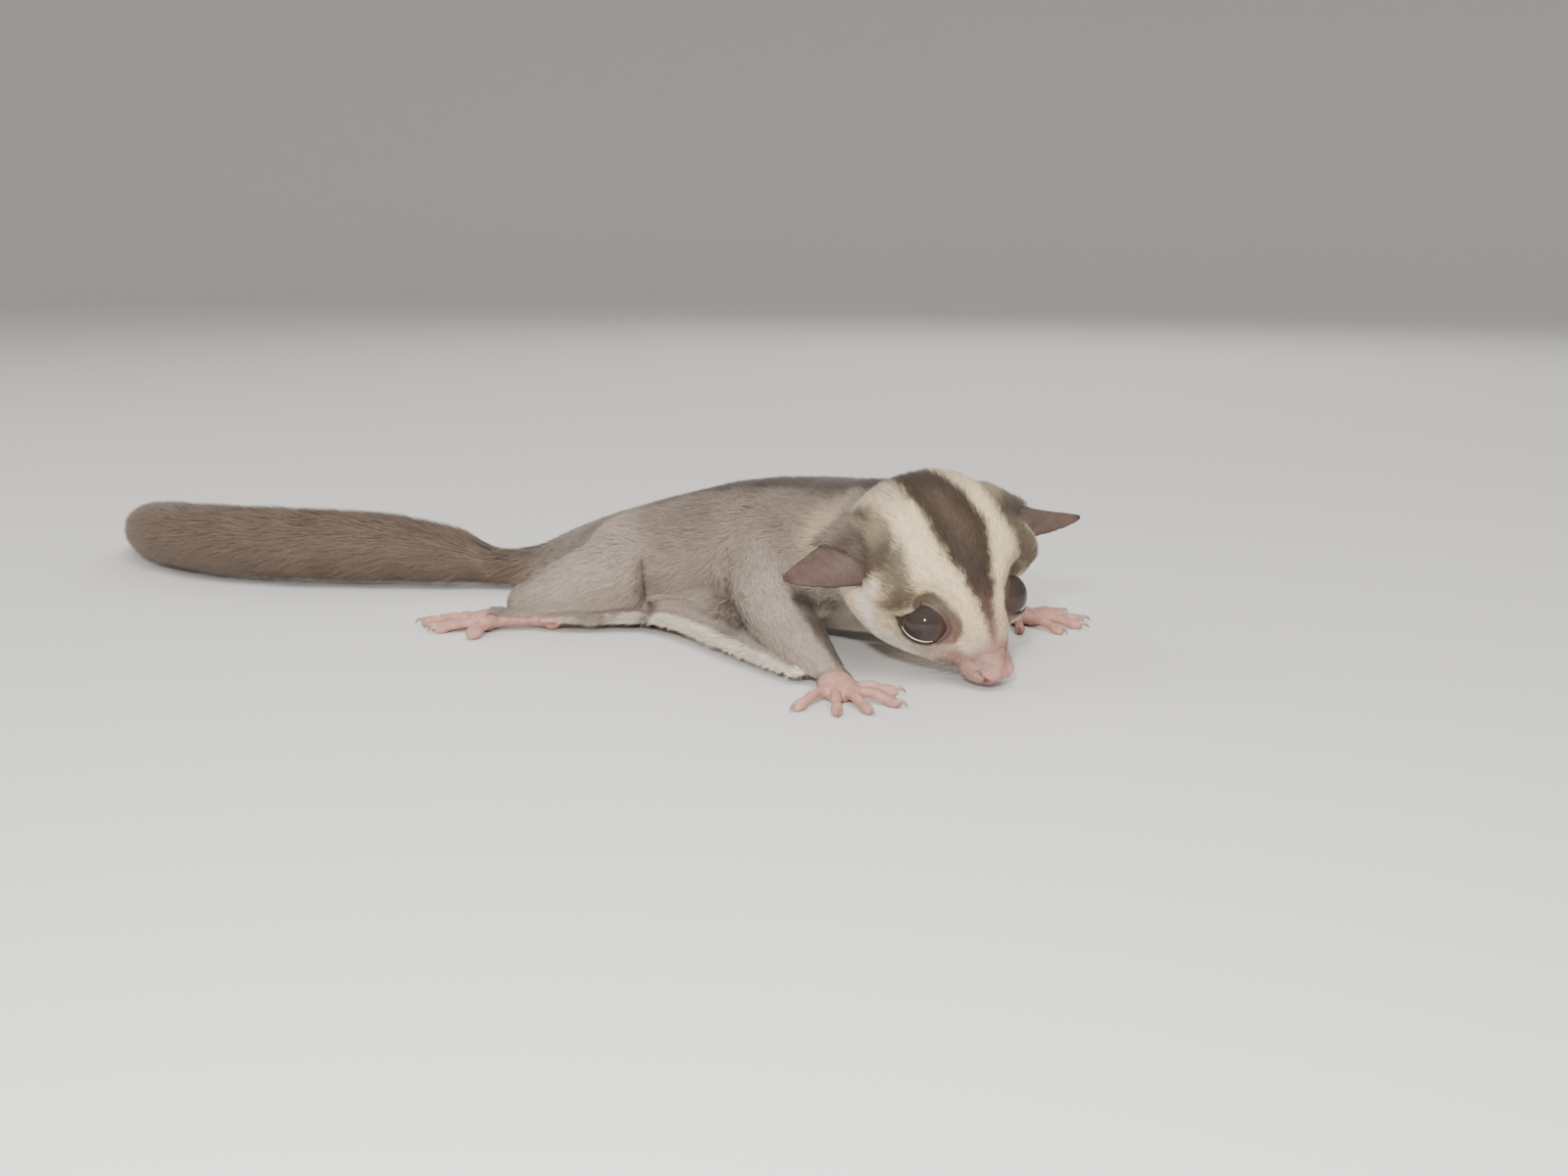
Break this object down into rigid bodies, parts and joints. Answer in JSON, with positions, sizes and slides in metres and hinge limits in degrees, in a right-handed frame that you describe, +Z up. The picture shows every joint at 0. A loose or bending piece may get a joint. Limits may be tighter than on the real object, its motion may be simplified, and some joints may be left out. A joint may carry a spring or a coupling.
{
  "type": "sugar glider",
  "caption": "Life-size still model of a sugar glider lying belly down, leaning forward on one hand with its head low, its gliding skin drawn in and its tail laid out behind.",
  "frame": {"origin": "middle of the model's box in plan, on the floor that the belly, tail and paws rest on", "axes": "+Z up; +X from the tail's end towards the left hand, along the edge the animal lay on; the face looks towards -Y and +X"},
  "size_m": [0.215, 0.159, 0.0356],
  "materials": {
    "fur_grey": "short dense taupe-grey fur with dark stripes and a cream face",
    "fur_tail": "longer brown-grey bushy fur",
    "fur_pale": "cream fur edge of the gliding skin",
    "skin_pink": "bare pink skin, soft sheen",
    "skin_ear": "thin bare grey-brown ear skin",
    "eye_black": "wet black, mirror gloss"
  },
  "bodies": {
    "root": {"trunk": "fur_grey", "neck": "fur_grey", "head": "fur_grey", "upper_arm_r": "fur_grey", "forearm_r": "fur_grey", "upper_arm_l": "fur_grey", "forearm_l": "fur_grey", "thigh_r": "fur_grey", "shank_r": "fur_grey", "thigh_l": "fur_grey", "shank_l": "fur_grey", "tail_1": "fur_tail", "tail_2": "fur_tail", "tail_3": "fur_tail", "tail_4": "fur_tail", "glide_skin_r": "fur_pale", "glide_skin_l": "fur_pale", "hand_r": "skin_pink", "hand_l": "skin_pink", "foot_r": "skin_pink", "foot_l": "skin_pink", "nose": "skin_pink", "ear_r": "skin_ear", "ear_l": "skin_ear", "eye_r": "eye_black", "eye_l": "eye_black"}
  },
  "joints": []
}
